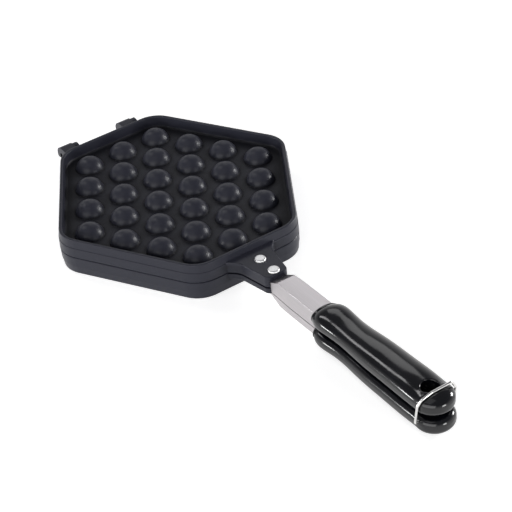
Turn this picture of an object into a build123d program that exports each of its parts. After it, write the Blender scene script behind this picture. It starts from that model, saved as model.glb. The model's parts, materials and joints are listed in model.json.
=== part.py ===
from build123d import *
from math import cos, radians, sin, sqrt, tan
import os

# Egg waffle pan: two cast aluminium plates, hinged at the back, with a riveted
# stem and a grip on each, and a wire bail that latches the two grips together.
# The halves are alike but for the hinges and lugs, one turned over onto the other.
# So the heights below are distances from the parting plane, outwards, and lengths
# along the handle (+X) start at the centre of the hexagon. Millimetres and degrees.

# ---- cups ----
pitch = 29.0  # between neighbouring cups
row_counts = (3, 4, 5, 6, 5, 4, 3)  # cups in each row, from the hinges to the handle
cup_level = 3.2  # height of the cups' centres
cup_radius = 9.0  # the batter's side
cup_lip = 0.9
dome_radius = 11.0  # the outer side
dome_foot = 0.6  # rounding where a dome meets the floor

# ---- plate ----
half_height = 14.3  # from the parting plane to the rim
seam = 0.4  # between the two closed plates
across_flat = 97.5  # centre to the edges at the hinges and the handle
across_slant = 85.1  # centre to the four slanted edges
corner_radius = 22.0
ledge_level = 7.8  # the wall's lower band ends here in a small ledge
ledge = 0.25
band_draft = 2.0
wall_draft = 6.0
rim_width = 2.4
tray_draft = 5.0
floor_level = 5.5
floor_fillet = 2.0
rim_fillet = 0.8
recess_level = 1.6  # the batter's side is sunk to here inside the sealing land
sealing_land = 5.0
seam_chamfer = 0.4

# ---- lug ----
# The upper lug is thick and covers its stem's tongue. The lower one is thin, and the
# tongue lies on its outside.
lug_reach = 131.0
lug_top = 9.0  # of the upper lug
tongue_level = 5.0  # where each tongue meets its lug
lug_gap = 0.75  # its skirts' height over the parting plane
lug_end_width = 17.0
lug_root_x = 104.0  # where the flare to the wall begins
lug_root_width = 27.0
lug_flare_x = 92.0
lug_flare_width = 50.0
lug_flare_radius = 12.0
lug_corner = 4.0
lug_edge = 0.8
pocket_start = 100.5
pocket_width = 13.6
rivet_places = {"rear": 109.8, "front": 126.1}  # distance along the handle
rivet_radius = 2.5
rivet_head_radius = 4.2
rivet_head_height = 1.5
rivet_head_edge = 1.3
rivet_tail_radius = 4.0
rivet_tail_height = 1.4
counterbore_radius = 4.3  # in the lower lug, round the rivets' tails
counterbore_level = 2.4

# ---- stem ----
sheet = 1.2
tongue_start = 101.5
tongue_width = 13.0
stem_start = 131.4
stem_rise_end = 141.0
stem_level = 10.0
stem_nose_width = 13.8
stem_full_x = 152.0  # its sides widen up to here
stem_width = 15.4
stem_bend = 0.6
upper_flange_level = -3.0  # its flanges reach past the parting plane
lower_flange_level = 3.6
tang_start = 183.0
tang_end = 268.0
tang_level = 4.4  # the flanges' height inside the grip

# ---- grip ----
handle_tilt = 0.65  # the handle rises, so that the lower grip clears the table
grip_front = 183.5
collar_length = 2.2
groove_length = 0.9
groove_depth = 0.4
collar_edge = 1.2
cap_x = 298.0  # centre of the round end
grip_level = 1.8  # height of the flat inner face, half the gap between the grips
side_share = 0.55  # of the height is an upright side, and the rest is the crown
inner_edge = 4.5
collar_size = (10.8, 12.6)  # half width and height
# distance along the handle, half width, height
grip_stations = (
    (grip_front + collar_length + groove_length, 11.4, 13.1),
    (192.0, 12.7, 14.6),
    (204.0, 12.3, 14.3),
    (216.0, 11.9, 13.9),
    (228.0, 12.4, 14.4),
    (242.0, 13.1, 15.0),
    (264.0, 13.4, 15.4),
    (284.0, 13.6, 15.6),
    (cap_x, 13.6, 15.6),
)
hanging_hole_x = 295.0
hanging_hole_radius = 6.0
hole_edge = 1.0
screw_x = 226.0
screw_radius = 2.0
screw_head_radius = 3.8
screw_head_level = 2.0  # heights of its head's two faces
screw_seat_level = 4.0
screw_play = 0.2  # round the head
screw_slot = (0.9, 1.0)  # width and depth
screw_tip = 10.8  # height of its end, past the tang

# ---- hinges ----
hinge_x = 113.0  # centre of the hexagon to the pins' axis
hinge_spread = 26.0  # centre of each hinge from the middle
arm_root_x = 94.0  # the arms start here, inside the wall
pin_radius = 2.0
pin_clearance = 0.05
claw_radius = 6.4
claw_width = 10.5
claw_tip = 3.0  # it reaches this far past the parting plane
claw_tip_edge = 1.2
ear_radius = 5.6
ear_width = 3.6
arm_gap = 0.4  # height of an arm's face over the parting plane
hinge_gap = 0.7  # between a claw and its ear
pin_inset = 3.0  # a pin ends this far inside its claw

# ---- bail ----
wire_radius = 0.9
bail_level = 5.0  # its pivot's depth under the handle's middle plane
bail_lean = 11.6  # from upright when latched
bail_side = 15.0  # half the distance between its legs
bail_clearance = 0.08
bail_end = 9.2  # its bent-in ends stop this far from the middle
bail_hole_end = 8.6  # and their holes here
# the wire's corners from one leg to the other: across the handle, out from the pivot
bail_corners = ((-bail_side, 15.4), (-12.4, 19.7), (-4.8, 22.1), (11.0, 22.1), (bail_side, 14.9))
bail_bends = (1.2, 2.4, 2.4, 5.0, 2.4, 2.4, 1.2)

near = 0.01  # two lengths closer than this are the same

hinge_length = claw_width + hinge_gap + ear_width

# The origin lies under the middle of the whole length, on the plane it rests on.
grip_end = cap_x + grip_stations[-1][1]
pan_x = (hinge_x + claw_radius - grip_end) / 2

row_gap = pitch * sqrt(3) / 2
middle_row = (len(row_counts) - 1) / 2
cups = [
    ((row - middle_row) * row_gap, (place - (count - 1) / 2) * pitch)
    for row, count in enumerate(row_counts)
    for place in range(count)
]
ledge_inset = ledge_level * tan(radians(band_draft)) + ledge
rim_inset = ledge_inset + (half_height - ledge_level) * tan(radians(wall_draft))
tray_inset = rim_inset + rim_width + (half_height - floor_level) * tan(radians(tray_draft))

standing = (Align.CENTER, Align.CENTER, Align.MIN)
hanging = (Align.CENTER, Align.CENTER, Align.MAX)
forwards = (Align.MIN, Align.CENTER)
corner = (Align.MIN, Align.MIN)


def plate_plane(side):
    """The parting plane at the centre of the hexagon, facing outwards on one side."""
    return Plane(origin=(pan_x, 0, half_height), x_dir=(1, 0, 0), z_dir=(0, 0, side))


def handle_plane(side):
    """The middle plane of the raised handle, facing outwards on one side."""
    rise = radians(handle_tilt)
    along = Vector(cos(rise), 0, sin(rise))
    pivot = Vector(pan_x + stem_start, 0, half_height)
    return Plane(
        origin=pivot - along * stem_start,
        x_dir=along,
        z_dir=Vector(-sin(rise), 0, cos(rise)) * side,
    )


def lug_face(side):
    """The height of a lug's outer face."""
    return lug_top if side > 0 else tongue_level


def tongue_face(side):
    """The height of a tongue's outer face."""
    return tongue_level if side > 0 else tongue_level + sheet


def side_view(base, y=0.0):
    """The upright plane along x of a base plane, drawn as (x, height)."""
    return Plane(origin=base.origin + base.y_dir * y, x_dir=base.x_dir, z_dir=-base.y_dir)


def end_view(base, x):
    """The plane across x of a base plane, drawn as (y, height)."""
    return Plane(origin=base.origin + base.x_dir * x, x_dir=base.y_dir, z_dir=base.x_dir)


def spot(base, x, level):
    """A plane parallel to a base plane, over a place on its x axis."""
    origin = base.origin + base.x_dir * x + base.z_dir * level
    return Plane(origin=origin, x_dir=base.x_dir, z_dir=base.z_dir)


def hexagon(inset):
    """The plate's outline, moved in by inset."""
    flat = across_flat - inset
    slant = across_slant - inset
    flat_y = (slant - flat * cos(radians(60))) / sin(radians(60))
    tip_y = slant / sin(radians(60))
    half = [(flat, flat_y), (0, tip_y), (-flat, flat_y)]
    with BuildSketch(mode=Mode.PRIVATE) as outline:
        with BuildLine():
            Polyline(*half, *[(-x, -y) for x, y in half], close=True)
        make_face()
        fillet(outline.vertices(), corner_radius - inset)
    return outline.sketch


def lug_outline():
    """The lug from above, flared where it meets the wall."""
    half = [
        (lug_flare_x, lug_flare_width / 2),
        (lug_root_x, lug_root_width / 2),
        (lug_reach, lug_end_width / 2),
    ]
    with BuildSketch(mode=Mode.PRIVATE) as outline:
        with BuildLine():
            Polyline(*half, *[(x, -y) for x, y in reversed(half)], close=True)
        make_face()
        by_x = outline.vertices().group_by(Axis.X)
        fillet(by_x[1], lug_flare_radius)
        fillet(outline.vertices().group_by(Axis.X)[-1], lug_corner)
    return outline.sketch


def level_edges(part, base, level):
    """The edges that lie at one height over a base plane."""
    return [
        edge
        for edge in part.edges()
        if all(abs(base.to_local_coords(edge @ end).Z - level) < near for end in (0, 0.5, 1))
    ]


def round_edges(part, base, level, radius):
    """The circles of one radius at one height over a base plane."""
    return [
        edge
        for edge in level_edges(part, base, level)
        if edge.geom_type == GeomType.CIRCLE and abs(edge.radius - radius) < near
    ]


def alike(direction, other):
    """Whether two directions are within 45 degrees, either way round."""
    return abs(direction.dot(other)) > cos(radians(45))


def plate(side):
    """A cast plate with its cups and lug, without the hinges."""
    base = plate_plane(side)
    with BuildPart() as casting:
        # the wall, in two drafted steps
        with BuildSketch(base.offset(seam / 2)):
            add(hexagon(0))
        extrude(amount=ledge_level - seam / 2, taper=band_draft)
        with BuildSketch(base.offset(ledge_level)):
            add(hexagon(ledge_inset))
        extrude(amount=half_height - ledge_level, taper=wall_draft)
        chamfer(level_edges(casting.part, base, seam / 2), seam_chamfer)
        # the tray round the domes
        with BuildSketch(base.offset(floor_level)):
            add(hexagon(tray_inset))
        extrude(amount=half_height - floor_level, taper=-tray_draft, mode=Mode.SUBTRACT)
        fillet(level_edges(casting.part, base, floor_level), floor_fillet)
        fillet(level_edges(casting.part, base, half_height), rim_fillet)
        # the lug
        with BuildSketch(base.offset(lug_gap)):
            add(lug_outline())
        extrude(amount=lug_face(side) - lug_gap)
        top_edges = [
            edge
            for edge in level_edges(casting.part, base, lug_face(side))
            if base.to_local_coords(edge @ 0.5).X > across_flat
        ]
        fillet(top_edges, lug_edge)
        with Locations([spot(base, x, lug_face(side)) for x in rivet_places.values()]):
            Cylinder(rivet_radius, lug_face(side), align=hanging, mode=Mode.SUBTRACT)
        if side > 0:
            # a pocket for the stem's tongue
            with BuildSketch(base.offset(lug_gap)):
                with Locations((pocket_start, 0)):
                    Rectangle(lug_reach, pocket_width, align=forwards)
            extrude(amount=tongue_level - lug_gap, mode=Mode.SUBTRACT)
        else:
            # room for the rivets' tails
            with Locations([spot(base, x, counterbore_level) for x in rivet_places.values()]):
                Cylinder(counterbore_radius, counterbore_level, align=hanging, mode=Mode.SUBTRACT)
        # the domes
        with Locations(base.offset(cup_level)):
            with Locations(*cups):
                Sphere(dome_radius, arc_size1=0, align=standing)
        foot_radius = sqrt(dome_radius**2 - (floor_level - cup_level) ** 2)
        fillet(round_edges(casting.part, base, floor_level, foot_radius), dome_foot)
        # the batter's side
        with BuildSketch(base.offset(seam / 2)):
            add(hexagon(sealing_land))
        extrude(amount=recess_level - seam / 2, mode=Mode.SUBTRACT)
        with Locations(base.offset(cup_level)):
            with Locations(*cups):
                Sphere(cup_radius, arc_size1=0, align=standing, mode=Mode.SUBTRACT)
        with BuildSketch(base.offset(seam / 2)):
            with Locations(*cups):
                Circle(cup_radius)
        extrude(amount=cup_level - seam / 2, mode=Mode.SUBTRACT)
        fillet(round_edges(casting.part, base, recess_level, cup_radius), cup_lip)
    return casting.part


def rivet(side, x):
    """A rivet through the lug and the stem's tongue."""
    base = plate_plane(side)
    head_level = max(lug_face(side), tongue_face(side))
    tail_level = tongue_level - sheet if side > 0 else counterbore_level
    with BuildPart() as turned:
        with Locations(spot(base, x, head_level)):
            Cylinder(rivet_head_radius, rivet_head_height, align=standing)
        fillet(level_edges(turned.part, base, head_level + rivet_head_height), rivet_head_edge)
        with Locations(spot(base, x, tail_level)):
            Cylinder(rivet_radius, head_level - tail_level, align=standing)
            Cylinder(rivet_tail_radius, rivet_tail_height, align=hanging)
    return turned.part


def stem_form(side, inset):
    """The stem as a solid block, moved in by inset at its top and sides."""
    base = handle_plane(side)
    flange_level = upper_flange_level if side > 0 else lower_flange_level
    side_edge = stem_width / 2 - inset
    half = [
        (stem_start, stem_nose_width / 2 - inset),
        (stem_full_x, side_edge),
        (tang_end, side_edge),
    ]
    with BuildPart(mode=Mode.PRIVATE) as block:
        with BuildSketch(side_view(base)) as profile:
            with BuildLine():
                Polyline(
                    (stem_start, flange_level),
                    (tang_start, flange_level),
                    (tang_start, tang_level),
                    (tang_end, tang_level),
                    (tang_end, stem_level - inset),
                    (stem_rise_end, stem_level - inset),
                    (stem_start, tongue_face(side) - inset),
                    close=True,
                )
            make_face()
            fillet(profile.vertices().sort_by_distance((stem_rise_end, stem_level))[0], stem_bend)
        extrude(amount=stem_width, both=True)
        # its sides draw in towards the lug
        with BuildSketch(base.offset(flange_level)):
            with BuildLine():
                Polyline(*half, *[(x, -y) for x, y in reversed(half)], close=True)
            make_face()
        extrude(amount=half_height, mode=Mode.INTERSECT)
        top_edges = [
            edge
            for face in block.faces()
            if alike(face.normal_at(), base.y_dir)
            for edge in face.edges()
            if alike(edge % 0.5, base.x_dir)
            and base.to_local_coords(edge @ 0.5).Z > tang_level + near
        ]
        fillet(top_edges, stem_bend)
    return block.part


def stem(side):
    """A pressed channel, with a flat tongue in the lug and a tang in the grip."""
    base = handle_plane(side)
    flat = plate_plane(side)
    with BuildPart() as pressing:
        add(stem_form(side, 0))
        add(stem_form(side, sheet), mode=Mode.SUBTRACT)
        with BuildSketch(spot(flat, tongue_start, tongue_face(side))):
            Rectangle(stem_start + sheet - tongue_start, tongue_width, align=forwards)
        extrude(amount=-sheet)
        with Locations([spot(flat, x, tongue_face(side)) for x in rivet_places.values()]):
            Cylinder(rivet_radius, sheet, align=hanging, mode=Mode.SUBTRACT)
        with Locations(spot(base, screw_x, stem_level)):
            Cylinder(screw_radius, sheet, align=hanging, mode=Mode.SUBTRACT)
    return pressing.part


def distance_to(axis, point):
    """The distance from a point to an axis."""
    return (point - axis.position).cross(axis.direction).length


def grip_section(half_width, height):
    """The D section of a grip, drawn as (y, height)."""
    side_level = height * side_share
    with BuildSketch(mode=Mode.PRIVATE) as section:
        with BuildLine():
            crown = EllipticalCenterArc((0, side_level), half_width, height - side_level, arc_size=180)
            Polyline(crown @ 1, (-half_width, grip_level), (half_width, grip_level), crown @ 0)
        make_face()
        fillet(section.vertices().group_by(Axis.Y)[0], inner_edge)
    return section.sketch


def grip(side, tang):
    """A moulded grip on a stem's tang."""
    base = handle_plane(side)
    with BuildPart() as moulding:
        for x, half_width, height in grip_stations:
            with BuildSketch(end_view(base, x)):
                add(grip_section(half_width, height))
        loft()
        # the round end
        with BuildSketch(end_view(base, cap_x)):
            add(grip_section(*grip_stations[-1][1:]))
            split(bisect_by=Plane.YZ)
        revolve(axis=Axis(spot(base, cap_x, 0).origin, -base.z_dir), revolution_arc=180)
        # the collar, and the groove behind it
        with BuildSketch(end_view(base, grip_front + collar_length)):
            add(grip_section(*[size - groove_depth for size in collar_size]))
        extrude(amount=groove_length)
        with BuildSketch(end_view(base, grip_front)):
            add(grip_section(*collar_size))
        extrude(amount=collar_length)
        front_edges = [
            edge
            for edge in moulding.edges()
            if all(abs(base.to_local_coords(edge @ end).X - grip_front) < near for end in (0, 0.5, 1))
        ]
        fillet(front_edges, collar_edge)
        # the hanging hole, the socket and the screw's place
        with Locations(spot(base, hanging_hole_x, 0)):
            Cylinder(hanging_hole_radius, 4 * half_height, mode=Mode.SUBTRACT)
        hole_axis = Axis(spot(base, hanging_hole_x, 0).origin, base.z_dir)
        hole_edges = [
            edge
            for edge in moulding.edges()
            if abs(distance_to(hole_axis, edge @ 0) - hanging_hole_radius) < near
            and abs(distance_to(hole_axis, edge @ 1) - hanging_hole_radius) < near
            and base.to_local_coords(edge @ 0.5).Z > grip_level + near
            and not alike(edge % 0.5, base.z_dir)
        ]
        fillet(hole_edges, hole_edge)
        add(tang, mode=Mode.SUBTRACT)
        with Locations(spot(base, screw_x, screw_seat_level)):
            Cylinder(screw_radius, screw_tip - screw_seat_level, align=standing, mode=Mode.SUBTRACT)
            Cylinder(screw_head_radius + screw_play, screw_seat_level, align=hanging, mode=Mode.SUBTRACT)
    return moulding.part


def grip_screw(side):
    """A slotted screw from the grip's inner face into the tang."""
    base = handle_plane(side)
    with BuildPart() as screw:
        with Locations(spot(base, screw_x, screw_seat_level)):
            Cylinder(screw_radius, screw_tip - screw_seat_level, align=standing)
            Cylinder(screw_head_radius, screw_seat_level - screw_head_level, align=hanging)
        with Locations(spot(base, screw_x, screw_head_level)):
            Box(2 * screw_head_radius, *screw_slot, align=standing, mode=Mode.SUBTRACT)
    return screw.part


def claw_outline():
    """A hook of the upper plate over its pin, drawn as (x, height)."""
    bore = pin_radius + pin_clearance
    with BuildSketch(mode=Mode.PRIVATE) as outline:
        with Locations((-hinge_x, 0)):
            Circle(claw_radius)
            Rectangle(hinge_x - arm_root_x, claw_radius, align=corner)
        # open below the pin and in front of it
        with Locations((-hinge_x - bore, arm_gap)):
            Rectangle(hinge_x, 2 * claw_radius, align=(Align.MIN, Align.MAX), mode=Mode.SUBTRACT)
        with Locations((-hinge_x, -claw_tip)):
            Rectangle(2 * claw_radius, claw_radius, align=(Align.CENTER, Align.MAX), mode=Mode.SUBTRACT)
        with Locations((-hinge_x, 0)):
            Circle(bore, mode=Mode.SUBTRACT)
        tip = outline.vertices().group_by(Axis.Y)[0].sort_by(Axis.X)[0]
        fillet(tip, claw_tip_edge)
    return outline.sketch


def ear_outline():
    """An eye of the lower plate that holds its pin, drawn as (x, height)."""
    with BuildSketch(mode=Mode.PRIVATE) as outline:
        with Locations((-hinge_x, 0)):
            Circle(ear_radius)
        with Locations((-hinge_x, -arm_gap)):
            Rectangle(hinge_x - arm_root_x, ear_radius - arm_gap, align=(Align.MIN, Align.MAX))
        with Locations((-hinge_x, 0)):
            Circle(pin_radius, mode=Mode.SUBTRACT)
    return outline.sketch


def hinge_pin(middle):
    """A pin from inside the claw to the ear's outer face."""
    claw_end, ear_end = middle - hinge_length / 2, middle + hinge_length / 2
    with BuildPart() as pin:
        with BuildSketch(side_view(plate_plane(1), ear_end)):
            with Locations((-hinge_x, 0)):
                Circle(pin_radius)
        extrude(amount=ear_end - claw_end - pin_inset)
    return pin.part


def bail():
    """A bent wire that swings over the grips' ends, with its ends in the lower grip."""
    base = handle_plane(1)
    lean = radians(bail_lean)
    out = base.x_dir * sin(lean) + base.z_dir * cos(lean)
    pivot = spot(base, cap_x, -bail_level).origin
    wire_plane = Plane(origin=pivot, x_dir=base.y_dir, z_dir=base.y_dir.cross(out))
    corners = [(-bail_end, 0), (-bail_side, 0), *bail_corners, (bail_side, 0), (bail_end, 0)]
    with BuildPart() as wire:
        with BuildLine(wire_plane) as route:
            FilletPolyline(*corners, radius=bail_bends)
        with BuildSketch(Plane(origin=route.line @ 0, z_dir=route.line % 0)):
            Circle(wire_radius)
        sweep()
    return wire.part


def save(name, part):
    part.label = name
    export_step(part, f"parts/{name}.step")


os.makedirs("parts", exist_ok=True)

lower_casting = plate(-1)
upper_casting = plate(1)
lower_grip_body = grip(-1, stem(-1))

with BuildPart() as lower_plate:
    add(lower_casting)
    for middle in (-hinge_spread, hinge_spread):
        with BuildSketch(side_view(plate_plane(1), middle + hinge_length / 2)):
            add(ear_outline())
        extrude(amount=ear_width)
save("lower_plate", lower_plate.part)

with BuildPart() as upper_plate:
    add(upper_casting)
    for middle in (-hinge_spread, hinge_spread):
        with BuildSketch(side_view(plate_plane(1), middle - hinge_length / 2 + claw_width)):
            add(claw_outline())
        extrude(amount=claw_width)
save("upper_plate", upper_plate.part)

with BuildPart() as lower_grip:
    add(lower_grip_body)
    for end in (-1, 1):
        with BuildSketch(side_view(handle_plane(1), end * bail_hole_end)):
            with Locations((cap_x, -bail_level)):
                Circle(wire_radius + bail_clearance)
        extrude(amount=-end * bail_side, mode=Mode.SUBTRACT)
save("lower_grip", lower_grip.part)

for name, side in (("lower", -1), ("upper", 1)):
    save(f"{name}_stem", stem(side))
    save(f"{name}_grip_screw", grip_screw(side))
    for place, x in rivet_places.items():
        save(f"{name}_{place}_rivet", rivet(side, x))
save("upper_grip", grip(1, stem(1)))
save("hinge_pin_left", hinge_pin(-hinge_spread))
save("hinge_pin_right", hinge_pin(hinge_spread))
save("wire_bail", bail())
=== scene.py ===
# %% [markdown]
# # An egg waffle pan: finishes, light and camera
# The pan is two black cast plates with thirty hollow balls in each, hinged at the
# back, with a bright stem and a black grip on each plate, and a wire bail over the
# grips' ends. Every one of these pieces is already a imported solid with its true size,
# so this lesson makes no new shapes. It gives each piece the finish of the real
# one, stands the pan on a pale floor and lights it as a small studio would.
# First the imported pan is loaded.

# %% Load the pan
import json
from math import cos, radians, sin

import bpy
from mathutils import Matrix, Vector


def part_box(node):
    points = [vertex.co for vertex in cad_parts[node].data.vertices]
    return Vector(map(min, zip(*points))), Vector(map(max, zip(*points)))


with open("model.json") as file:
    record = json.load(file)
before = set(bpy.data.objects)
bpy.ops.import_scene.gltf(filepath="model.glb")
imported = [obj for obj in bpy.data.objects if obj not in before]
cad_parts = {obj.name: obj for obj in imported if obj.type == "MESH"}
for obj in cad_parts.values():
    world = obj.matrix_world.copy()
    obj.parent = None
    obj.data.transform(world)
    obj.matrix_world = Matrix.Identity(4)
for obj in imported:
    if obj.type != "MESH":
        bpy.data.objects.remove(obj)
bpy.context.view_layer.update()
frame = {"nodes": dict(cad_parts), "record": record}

MM = 0.001  # the scene is in metres
print("pieces:", ", ".join(sorted(frame["nodes"])))

# %% [markdown]
# ## Three small helpers
# A finish in Blender is a graph of nodes. Colours are easiest to note as the hex
# values of a paint chart, but a shader wants linear light, so one function turns
# one into the other. A second adds a node with its settings, values, links and,
# for a colour ramp, its colours. A third starts a material with a Principled
# shader, which is a good first choice for coated, metal and moulded surfaces alike.


# %% Helpers for every material
def linear_colour(hex_code):
    """The linear colour of an sRGB hex value such as 1b1c20."""
    shares = [int(hex_code[place : place + 2], 16) / 255 for place in (0, 2, 4)]
    linear = [s / 12.92 if s <= 0.04045 else ((s + 0.055) / 1.055) ** 2.4 for s in shares]
    return (*linear, 1.0)


def add_node(tree, kind, values=None, links=None, colours=(), **settings):
    """A new node: its settings, its inputs' values and links, and a ramp's colours."""
    node = tree.nodes.new(kind)
    for name, value in settings.items():
        setattr(node, name, value)
    for name, value in (values or {}).items():
        node.inputs[name].default_value = value
    for name, socket in (links or {}).items():
        tree.links.new(socket, node.inputs[name])
    for number, (place, hex_code) in enumerate(colours):
        node.color_ramp.elements[number].position = place
        node.color_ramp.elements[number].color = linear_colour(hex_code)
    return node


def start_material(name, **values):
    """A material, its node tree and its Principled shader, with the shader's own values."""
    material = bpy.data.materials.new(name)
    material.use_nodes = True
    shader = material.node_tree.nodes["Principled BSDF"]
    for socket, value in values.items():
        shader.inputs[socket].default_value = value
    return material, material.node_tree, shader


print("a mid grey chip, 808080, is", round(linear_colour("808080")[0], 3), "in linear light")

# %% [markdown]
# ## Patterns are measured on the pan itself
# Every pattern below is made in object coordinates. An object carries its own
# coordinates with it, so a pattern made this way stays on its piece when the lid
# opens. A noise texture's scale counts features in a metre, so a pattern of so
# many millimetres is one over that size. Most of a noise's values lie near the
# middle, between 0.3 and 0.7, so a finish is spread out between those two.

# %% Patterns on a piece
FINER_SHARE = 0.55  # how much each finer layer of a grain weighs against the one before
GRAIN_LOW = 0.3
GRAIN_HIGH = 0.7


def place_on_piece(tree, stretch=(1, 1, 1)):
    """The position on the piece, in metres, squeezed along each axis."""
    position = add_node(tree, "ShaderNodeTexCoord")
    links = {"Vector": position.outputs["Object"]}
    return add_node(tree, "ShaderNodeMapping", {"Scale": stretch}, links).outputs["Vector"]


def grain(tree, size, layers=2.0, stretch=(1, 1, 1)):
    """A grain whose features are about size across, in metres, with finer layers in it."""
    values = {"Scale": 1 / size, "Detail": layers, "Roughness": FINER_SHARE}
    links = {"Vector": place_on_piece(tree, stretch)}
    return add_node(tree, "ShaderNodeTexNoise", values, links).outputs["Fac"]


print("a 0.5 mm grain has a noise scale of", 1 / (0.5 * MM))

# %% [markdown]
# ## The three steps of a finish
# Once a pattern is there, it can do three things to a surface: tint it, make it
# duller in places and raise it a little. Each of these is one step here, and the
# finishes below are made of them. A pattern that is raised by a tenth of a
# millimetre or less belongs in the shader and not in the mesh.


# %% Tint, polish and relief
def tint(tree, shader, pattern, *colours):
    """Tints the surface by a pattern, from one sRGB hex value to another."""
    ramp = add_node(tree, "ShaderNodeValToRGB", links={"Fac": pattern}, colours=colours)
    tree.links.new(ramp.outputs["Color"], shader.inputs["Base Color"])


def polish(tree, shader, pattern, smooth, rough):
    """Makes the surface smooth where a grain is low and rough where it is high."""
    values = {"From Min": GRAIN_LOW, "From Max": GRAIN_HIGH, "To Min": smooth, "To Max": rough}
    gloss = add_node(tree, "ShaderNodeMapRange", values, {"Value": pattern})
    tree.links.new(gloss.outputs["Result"], shader.inputs["Roughness"])


def relief(tree, shader, pattern, height, strength, under=None):
    """Raises the surface by a height, in metres, over another relief under it."""
    links = {"Height": pattern}
    if under:
        links["Normal"] = under
    values = {"Distance": height, "Strength": strength}
    raised = add_node(tree, "ShaderNodeBump", values, links)
    tree.links.new(raised.outputs["Normal"], shader.inputs["Normal"])
    return raised.outputs["Normal"]


print("a grain's values are spread out between", GRAIN_LOW, "and", GRAIN_HIGH)

# %% [markdown]
# ## Non-stick coating on cast aluminium
# The plates are cast aluminium under a sprayed and baked fluoropolymer coating.
# It is satin: the spray dries as a fine orange peel over the grain of the casting,
# which spreads each lamp into a soft spot on every ball. The coating's index
# is low, 1.35, so it looks deeper than most blacks. Its pigment is a little blue.
# The floors of the trays, the cups and the valleys between the balls are painted darker, as
# painted shade, and are also made duller. Two masks find what is left without painted shade: the
# height from the parting plane finds the balls, and ambient occlusion the open sides.

# %% Where the coating is left without painted shade
BALL_FOOT = 5.9 * MM  # from the parting plane
BALL_SHOULDER = 7.2 * MM
OPEN_REACH = 14.0 * MM  # about half the way from one ball to the next
SHELTERED = 0.75  # a place that is this open, or less, gets the full painted shade as a side
FEELERS = 8  # the rays that feel how open a place is
parting_level = (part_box("lower_plate")[0][2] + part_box("upper_plate")[1][2]) / 2


def unshaded_places(tree):
    """One on the balls and the open sides, nothing on the trays' floors and in the cups, where
    painted shade goes.
    """
    place = add_node(tree, "ShaderNodeSeparateXYZ", links={"Vector": place_on_piece(tree)})
    level = {0: place.outputs["Z"]}
    above = add_node(tree, "ShaderNodeMath", {1: parting_level}, level, operation="SUBTRACT")
    signed = {0: above.outputs["Value"]}
    away = add_node(tree, "ShaderNodeMath", links=signed, operation="ABSOLUTE")
    values = {"From Min": BALL_FOOT, "From Max": BALL_SHOULDER}
    balls = add_node(tree, "ShaderNodeMapRange", values, {"Value": away.outputs["Value"]})
    reach = {"Distance": OPEN_REACH}
    sky = add_node(tree, "ShaderNodeAmbientOcclusion", reach, only_local=True, samples=FEELERS)
    values = {"From Min": SHELTERED, "From Max": 1.0}
    sides = add_node(tree, "ShaderNodeMapRange", values, {"Value": sky.outputs["AO"]})
    masks = {0: balls.outputs["Result"], 1: sides.outputs["Result"]}
    return add_node(tree, "ShaderNodeMath", links=masks, operation="MAXIMUM").outputs["Value"]


print("the parting plane is at, mm:", round(parting_level / MM, 2))

# %% [markdown]
# ## The coating itself
# The casting's grain makes the edge of the painted shade uneven: it adds up to UNEVEN to the
# mask, and half of that is then taken off again, so that the mask stays as it was on average.
# Where the mask is low, in the valleys, the cups and the trays' floors, the coat is darkened to
# near black as painted shade and made duller, and the peel varies the dullness a little. Both
# the peel and the grain under it are raised.

# %% The plates' coating
COATING_PEEL = 1.1 * MM  # the spray's real peel is about 0.4 mm: coarser here, so that it shows
PEEL_HEIGHT = 0.02 * MM
PEEL_STRENGTH = 0.6
CASTING_GRAIN = 5.0 * MM
CASTING_HEIGHT = 0.03 * MM
CASTING_STRENGTH = 0.5
UNEVEN = 0.3
BASE_ROUGHNESS = (0.34, 0.42)
VALLEY_ROUGHER = 0.28


def nonstick_coating():
    material, tree, shader = start_material("nonstick_coating", IOR=1.35)
    links = {0: grain(tree, CASTING_GRAIN, layers=3.0), 2: unshaded_places(tree)}
    uneven = add_node(tree, "ShaderNodeMath", {1: UNEVEN}, links, operation="MULTIPLY_ADD")
    values = {"From Min": UNEVEN / 2, "From Max": 1 + UNEVEN / 2}
    mask = add_node(tree, "ShaderNodeMapRange", values, {"Value": uneven.outputs["Value"]})
    unshaded_share = mask.outputs["Result"]
    # painted shade: the coat is near black, 05060e, where the mask is low, in the valleys, the
    # cups and the trays' floors, and 2b2c36 on the balls and open sides
    tint(tree, shader, unshaded_share, (0.0, "05060e"), (1.0, "2b2c36"))

    peel = grain(tree, COATING_PEEL)
    smooth, rough = BASE_ROUGHNESS
    values = {"From Min": GRAIN_LOW, "From Max": GRAIN_HIGH, "To Min": smooth, "To Max": rough}
    gloss = add_node(tree, "ShaderNodeMapRange", values, {"Value": peel})
    values = {"To Min": VALLEY_ROUGHER, "To Max": 0.0}
    dull = add_node(tree, "ShaderNodeMapRange", values, {"Value": unshaded_share})
    links = {0: gloss.outputs["Result"], 1: dull.outputs["Result"]}
    roughness = add_node(tree, "ShaderNodeMath", links=links, operation="ADD")
    tree.links.new(roughness.outputs["Value"], shader.inputs["Roughness"])

    cast_grain = grain(tree, CASTING_GRAIN, layers=1.0)
    cast_skin = relief(tree, shader, cast_grain, CASTING_HEIGHT, CASTING_STRENGTH)
    relief(tree, shader, peel, PEEL_HEIGHT, PEEL_STRENGTH, cast_skin)
    return material


coating = nonstick_coating()
print("made", coating.name, "with a peel of", COATING_PEEL / MM, "mm")

# %% [markdown]
# ## Pressed stainless sheet
# The two stems are channels pressed from 1.2 mm stainless sheet, which came from
# the mill with a fine brushed grain along its length. The press has smeared the
# grain, so what is left is a soft, slightly streaked shine: a metal with a medium
# roughness, and streaks that are fifty times as long as they are wide.

# %% The stems' sheet
BRUSH_LINE = 0.5 * MM  # real lines are about 0.05 mm apart: coarser here, so that they show
BRUSH_HEIGHT = 0.004 * MM
BRUSH_STRENGTH = 0.5
ALONG_THE_SHEET = (0.02, 1, 1)  # a line is fifty times as long as it is wide


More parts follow.
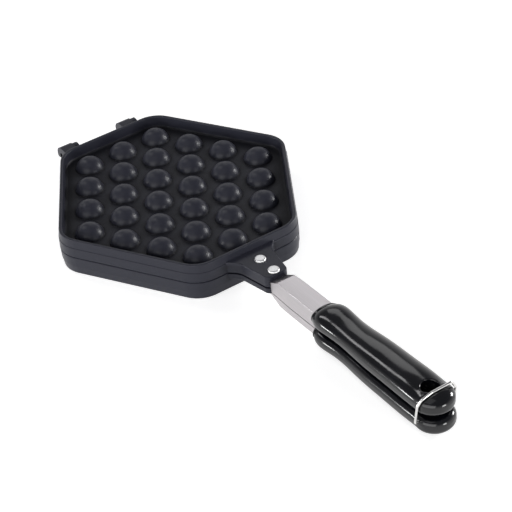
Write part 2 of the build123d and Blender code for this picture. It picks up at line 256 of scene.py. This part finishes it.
def pressed_stainless():
    material, tree, shader = start_material("pressed_stainless", Metallic=1.0, Anisotropic=0.3)
    lines = grain(tree, BRUSH_LINE, layers=3.0, stretch=ALONG_THE_SHEET)
    tint(tree, shader, lines, (GRAIN_LOW, "b6b2b4"), (GRAIN_HIGH, "c1bdbf"))
    polish(tree, shader, lines, smooth=0.28, rough=0.36)
    relief(tree, shader, lines, BRUSH_HEIGHT, BRUSH_STRENGTH)
    return material


stainless = pressed_stainless()
print("made", stainless.name, "with lines", BRUSH_LINE / MM, "mm apart")

# %% [markdown]
# ## Bright aluminium rivets
# The rivets are soft aluminium, set cold by a press whose die leaves a slightly
# hammered face. They were fitted after coating, so they are bare and bright.

# %% The rivets' metal
DIE_MARK = 1.2 * MM
DIE_HEIGHT = 0.12 * MM
DIE_STRENGTH = 0.8
DIE_DARK = 0.35
DIE_LIGHT = 0.65


def set_aluminium():
    material, tree, shader = start_material("set_aluminium", Metallic=1.0)
    marks = grain(tree, DIE_MARK)
    tint(tree, shader, marks, (DIE_DARK, "dcdcdd"), (DIE_LIGHT, "f0f0ef"))
    polish(tree, shader, marks, smooth=0.3, rough=0.45)
    relief(tree, shader, marks, DIE_HEIGHT, DIE_STRENGTH)
    return material


rivet_metal = set_aluminium()
print("made", rivet_metal.name, "with die marks of", DIE_MARK / MM, "mm")

# %% [markdown]
# ## Black phenolic grips
# The grips are phenolic resin, pressed hot in a polished steel mould. The skin is
# hard and glossy and shows the studio's lamps with clean edges. It isn't
# perfectly flat: the flow of the resin leaves a very long, low ripple, which
# bends the reflections a little. Phenolic has an index of about 1.5.

# %% The grips' resin
FLOW_RIPPLE = 14.0 * MM
FLOW_HEIGHT = 0.05 * MM
FLOW_STRENGTH = 0.4


def moulded_phenolic():
    material, tree, shader = start_material("moulded_phenolic", IOR=1.5)
    ripple = grain(tree, FLOW_RIPPLE, layers=1.0)
    tint(tree, shader, ripple, (GRAIN_LOW, "07080c"), (GRAIN_HIGH, "0a0b11"))
    polish(tree, shader, ripple, smooth=0.1, rough=0.16)
    relief(tree, shader, ripple, FLOW_HEIGHT, FLOW_STRENGTH)
    return material


phenolic = moulded_phenolic()
print("made", phenolic.name, "with a ripple of", FLOW_RIPPLE / MM, "mm")

# %% [markdown]
# ## Drawn steel: pins, screws and the bail
# The hinge pins, the grip screws and the bail are drawn steel. Drawing through a
# die leaves faint lines along the wire. The bail is bright nickel, the pins are
# plain and greyer, and the screws have a dull zinc plating. One function
# makes all three, because only their tint and polish differ.

# %% Three drawn steels
DRAW_LINE = 0.4 * MM
DRAW_HEIGHT = 0.01 * MM
DRAW_STRENGTH = 0.4
ACROSS_THE_PAN = (1, 0.1, 1)  # the pins and the bail's crossing wire run along Y


def drawn_steel(name, dark, light, smooth, rough):
    material, tree, shader = start_material(name, Metallic=1.0)
    lines = grain(tree, DRAW_LINE, stretch=ACROSS_THE_PAN)
    tint(tree, shader, lines, (GRAIN_LOW, dark), (GRAIN_HIGH, light))
    polish(tree, shader, lines, smooth, rough)
    relief(tree, shader, lines, DRAW_HEIGHT, DRAW_STRENGTH)
    return material


pin_steel = drawn_steel("drawn_pin_steel", "8a8a8c", "a3a3a4", smooth=0.3, rough=0.45)
screw_steel = drawn_steel("zinc_plated_steel", "b9babb", "cdcdcd", smooth=0.25, rough=0.4)
bail_steel = drawn_steel("nickel_plated_wire", "cfcecc", "e3e2e0", smooth=0.12, rough=0.22)
print("made", pin_steel.name, screw_steel.name, bail_steel.name)

# %% [markdown]
# ## Dressing the pieces
# The record says which material each solid is made of. So the finishes are
# handed out by that list, and no piece is left with a plain colour.

# %% Give every piece its finish
finishes = {
    "cast_nonstick": coating,
    "stainless_sheet": stainless,
    "rivet_metal": rivet_metal,
    "pin_steel": pin_steel,
    "phenolic": phenolic,
    "screw_steel": screw_steel,
    "bail_wire": bail_steel,
}
for part in frame["record"]["subparts"]:
    piece = frame["nodes"][part["node"]]
    if not piece.material_slots:
        piece.data.materials.append(None)
    for material_slot in piece.material_slots:
        material_slot.material = finishes[part["material_slot"]]
    print(part["node"], "is", piece.material_slots[0].material.name)

# %% [markdown]
# ## Camera
# The pan is seen from above the side of its handle, with a long lens, so that
# its far and near edges keep almost the same size. The camera is placed by its
# direction and distance from a point on the pan's top, and is rolled a little.

# %% Place the camera
AIM = Vector((1.83, 3.97, 17.66)) * MM
AZIMUTH = 59.513  # degrees, from -Y towards +X
ELEVATION = 36.004
DISTANCE = 1234.1 * MM
ROLL = radians(-6.389)
SENSOR = 36.0  # this and the lens are in millimetres, as on a camera
LENS = 125.66


def direction_of(azimuth, elevation):
    """The direction from the pan, for an azimuth and an elevation in degrees."""
    turn, rise = radians(azimuth), radians(elevation)
    return Vector((sin(turn) * cos(rise), -cos(turn) * cos(rise), sin(rise)))


towards_camera = direction_of(AZIMUTH, ELEVATION)
level = Vector((cos(radians(AZIMUTH)), sin(radians(AZIMUTH)), 0.0))
upright = towards_camera.cross(level)
across = level * cos(ROLL) + upright * sin(ROLL)
upwards = upright * cos(ROLL) - level * sin(ROLL)

camera = bpy.data.objects.new("camera", bpy.data.cameras.new("camera"))
camera.data.sensor_width = SENSOR
camera.data.lens = LENS
place = Matrix((across, upwards, towards_camera)).transposed().to_4x4()
place.translation = AIM + towards_camera * DISTANCE
camera.matrix_world = place
bpy.context.scene.collection.objects.link(camera)
bpy.context.scene.camera = camera
print("camera at, mm:", [round(value / MM) for value in place.translation])

# %% [markdown]
# ## Floor
# The pan stands on a white sweep. It is a matt white that also glows a little for
# the rays that are looked along, so that it comes out white and still keeps the
# pan's shadow. The same glow is there for reflected rays, so that the metal shows
# a white floor too. A plane is enough, as its edges are out of the camera's view.

# %% Make the floor
FLOOR_SIZE = 12.0
FLOOR_DROP = 0.05 * MM  # under the plane that the pan rests on, so that no two faces meet
FLOOR_GLOW = 0.65


def rays_that_show(tree):
    """One for rays that are looked along, reflected or refracted, and nothing for others."""
    path = add_node(tree, "ShaderNodeLightPath")
    seen = path.outputs["Is Camera Ray"]
    for more in ("Is Glossy Ray", "Is Transmission Ray"):
        both = {0: seen, 1: path.outputs[more]}
        seen = add_node(tree, "ShaderNodeMath", links=both, operation="MAXIMUM").outputs["Value"]
    return seen


def white_floor():
    material = bpy.data.materials.new("white_sweep")
    material.use_nodes = True
    tree = material.node_tree
    tree.nodes.clear()
    matt = add_node(tree, "ShaderNodeBsdfDiffuse", {"Color": linear_colour("f2f2f2")})
    shown = {0: rays_that_show(tree)}
    glow = add_node(tree, "ShaderNodeMath", {1: FLOOR_GLOW}, shown, operation="MULTIPLY")
    light = add_node(tree, "ShaderNodeEmission", links={"Strength": glow.outputs["Value"]})
    links = {0: matt.outputs["BSDF"], 1: light.outputs["Emission"]}
    both = add_node(tree, "ShaderNodeAddShader", links=links)
    add_node(tree, "ShaderNodeOutputMaterial", links={"Surface": both.outputs["Shader"]})
    return material


bpy.ops.mesh.primitive_plane_add(size=FLOOR_SIZE, location=(0, 0, -FLOOR_DROP))
floor = bpy.context.object
floor.name = "floor"
floor.data.materials.append(white_floor())
print("floor is", FLOOR_SIZE, "m across")

# %% [markdown]
# ## The room
# Round the floor is a room with white walls and a darker ceiling. It is the
# world's background, coloured by how steeply a ray rises. What is seen and
# mirrored of it is at full strength, so that it comes out white, and what lights
# the pan is only a quarter of that, so that the lamps can shape the black.

# %% The room's walls and ceiling, as the world
ROOM_LIGHT = 0.25
WALLS_END = 0.1  # how steeply a ray rises: 0 is level and 1 is straight up
CEILING_STARTS = 0.5

world = bpy.data.worlds.new("white_room")
bpy.context.scene.world = world
world.use_nodes = True
room = world.node_tree
room.nodes.clear()
ray = add_node(room, "ShaderNodeTexCoord")
rise = add_node(room, "ShaderNodeSeparateXYZ", links={"Vector": ray.outputs["Generated"]})
wall_to_ceiling = add_node(
    room,
    "ShaderNodeValToRGB",
    links={"Fac": rise.outputs["Z"]},
    colours=((WALLS_END, "ffffff"), (CEILING_STARTS, "808084")),
)
strength = add_node(
    room,
    "ShaderNodeMapRange",
    {"To Min": ROOM_LIGHT, "To Max": 1.0},
    {"Value": rays_that_show(room)},
)
links = {"Color": wall_to_ceiling.outputs["Color"], "Strength": strength.outputs["Result"]}
background = add_node(room, "ShaderNodeBackground", links=links)
add_node(room, "ShaderNodeOutputWorld", links={"Surface": background.outputs["Background"]})
print("the room lights the pan at", ROOM_LIGHT)

# %% [markdown]
# ## Lamps
# Six soft boxes do most of the lighting. Each is a rectangle that faces the pan,
# placed by its direction and distance, because that is how a lamp on a stand is
# moved. A black glossy thing is shaped mostly by what it mirrors, so where the boxes
# stand matters more than how strong they are. The front box is the large main
# light, and the top one fills in from above. The four small ones each add one
# highlight: from the right, from the left, from over the hinges and from beyond
# the grips.

# %% Place the soft boxes
SOFT_BOXES = (  # name, azimuth, elevation, distance and sides in metres, and power in watts
    ("front_box", 30.0, 20.0, 1.7, (2.0, 1.0), 14.0),
    ("top_box", 10.0, 68.0, 1.8, (1.2, 1.2), 2.5),
    ("right_box", 168.0, 18.0, 1.5, (0.35, 0.35), 12.0),
    ("left_box", -26.0, 8.0, 1.5, (0.35, 0.2), 7.0),
    ("shoulder_box", -75.0, 47.0, 1.5, (0.2, 0.6), 2.0),
    ("cap_box", 100.0, 8.0, 1.4, (0.35, 0.35), 5.0),
)


def hang_lamp(name, middle, out, distance, sides, power):
    """A rectangular lamp that faces a point from one direction."""
    lamp = bpy.data.lights.new(name, "AREA")
    lamp.shape = "RECTANGLE"
    lamp.size, lamp.size_y = sides
    lamp.energy = power
    stand = bpy.data.objects.new(name, lamp)
    turn = out.to_track_quat("Z", "Y").to_matrix().to_4x4()
    stand.matrix_world = Matrix.Translation(middle + out * distance) @ turn
    bpy.context.scene.collection.objects.link(stand)
    print(name, "stands at, mm:", [round(value / MM) for value in stand.location])


for name, azimuth, elevation, distance, sides, power in SOFT_BOXES:
    hang_lamp(name, AIM, direction_of(azimuth, elevation), distance, sides, power)

# %% [markdown]
# ## A lamp for the stem
# The stem's flat top is a mirror, though a blurred one: it looks as bright as
# whatever lies where the camera's line of sight bounces off it. So the last lamp
# is placed on that bounced line. It is half a metre wide, to fill the blur, and
# weak, because the black pieces round the stem catch some of its light too.

# %% Place the stem's lamp
STEM_LAMP_DISTANCE = 1.4
STEM_LAMP_SIDES = (0.5, 0.4)
STEM_LAMP_POWER = 0.95

stem_low, stem_high = (Vector(end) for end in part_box("upper_stem"))
stem_middle = (stem_low + stem_high) / 2
stem_middle.z = stem_high.z
sight = (stem_middle - place.translation).normalized()
bounced = Vector((sight.x, sight.y, -sight.z))
hang_lamp("stem_box", stem_middle, bounced, STEM_LAMP_DISTANCE, STEM_LAMP_SIDES, STEM_LAMP_POWER)

# %% [markdown]
# ## Picture settings
# The Standard view shows each colour as it is written.

# %% Finish
bpy.context.scene.view_settings.view_transform = "Standard"
